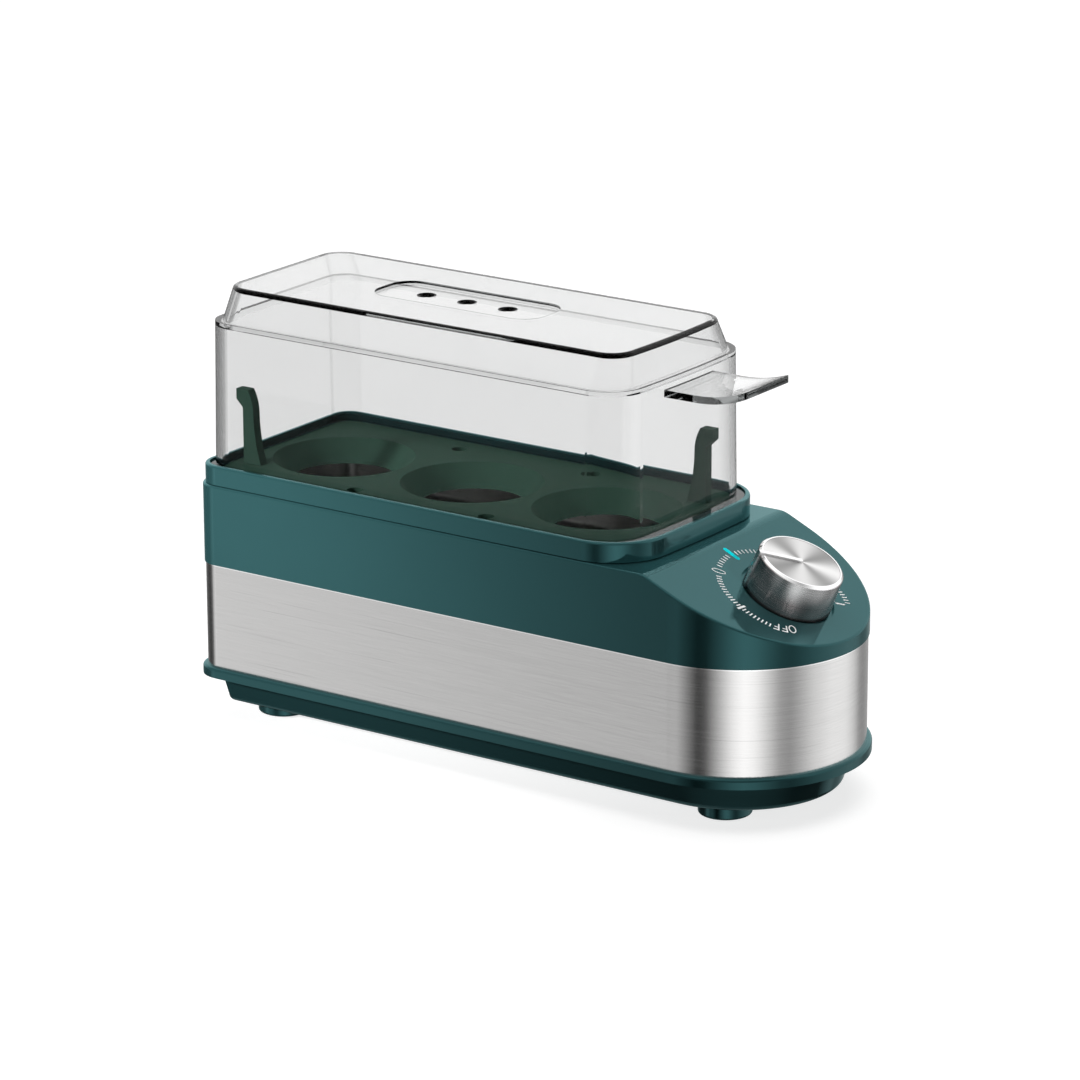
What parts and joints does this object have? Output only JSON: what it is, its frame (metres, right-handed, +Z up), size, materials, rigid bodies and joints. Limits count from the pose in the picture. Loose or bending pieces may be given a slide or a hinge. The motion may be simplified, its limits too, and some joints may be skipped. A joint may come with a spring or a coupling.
{
  "type": "electric egg cooker",
  "caption": "Slim countertop egg cooker: clear lift-off lid over a cupped tray and steam pan, brushed steel band, sloping nose with a timer knob.",
  "frame": {"origin": "on the standing surface, under the middle of the base", "axes": "+Z up, +X along the body towards the dial nose, +Y towards the left side seen from the nose's back"},
  "size_m": [0.2149, 0.0796, 0.1358],
  "materials": {
    "housing_plastic": "glossy moulded, dark teal green",
    "base_plastic": "glossy moulded, darker teal green",
    "clear_plastic": "clear moulded, slight grey tint",
    "tray_plastic": "satin moulded, dark green",
    "band_steel": "brushed along the length",
    "pan_steel": "drawn, satin",
    "knob_metal": "spun top, brushed flank",
    "pointer_metal": "polished",
    "heater_aluminium": "as cast",
    "element_steel": "dull tube",
    "zinc_steel": "zinc plated",
    "brass": "bright",
    "inner_plastic": "matte black",
    "block_plastic": "matte off-white",
    "soft_rubber": "matte black",
    "seal_silicone": "translucent grey, matte"
  },
  "bodies": {
    "housing": {"base": "base_plastic", "base_screws": "zinc_steel", "bracket_screws": "zinc_steel", "cord_gland": "soft_rubber", "feet": "base_plastic", "foot_pads": "soft_rubber", "fuse_clip": "zinc_steel", "heat_plate": "heater_aluminium", "heating_element": "element_steel", "heating_pan": "pan_steel", "pan_seal": "seal_silicone", "rim_ring": "housing_plastic", "steel_band": "band_steel", "terminal_block": "block_plastic", "terminal_screw": "zinc_steel", "thermal_fuse": "brass", "thermostat": "heater_aluminium", "thermostat_bracket": "zinc_steel", "timer_bell": "zinc_steel", "timer_case": "inner_plastic", "timer_plate": "zinc_steel", "timer_screws": "zinc_steel", "upper_housing": "housing_plastic"},
    "lid": {"lid": "clear_plastic"},
    "egg_tray": {"egg_tray": "tray_plastic"},
    "dial": {"knob": "knob_metal", "knob_cap": "knob_metal", "knob_pointer": "pointer_metal", "timer_shaft": "zinc_steel"}
  },
  "joints": [
    {"name": "lid_lift", "type": "slide", "parent": "housing", "child": "lid", "axis": [0, 0, 1], "range_m": [0, 0.15]},
    {"name": "tray_lift", "type": "slide", "parent": "housing", "child": "egg_tray", "axis": [0, 0, 1], "range_m": [0, 0.0675]},
    {"name": "knob_turn", "type": "hinge", "parent": "housing", "child": "dial", "pos_m": [0.08451, 0, 0.06399], "axis": [0.4083, 0, 0.9128], "range_deg": [-161, 77]}
  ],
  "couplings": [
    {"joint": "tray_lift", "follows": "lid_lift", "ratio": 0.45}
  ]
}
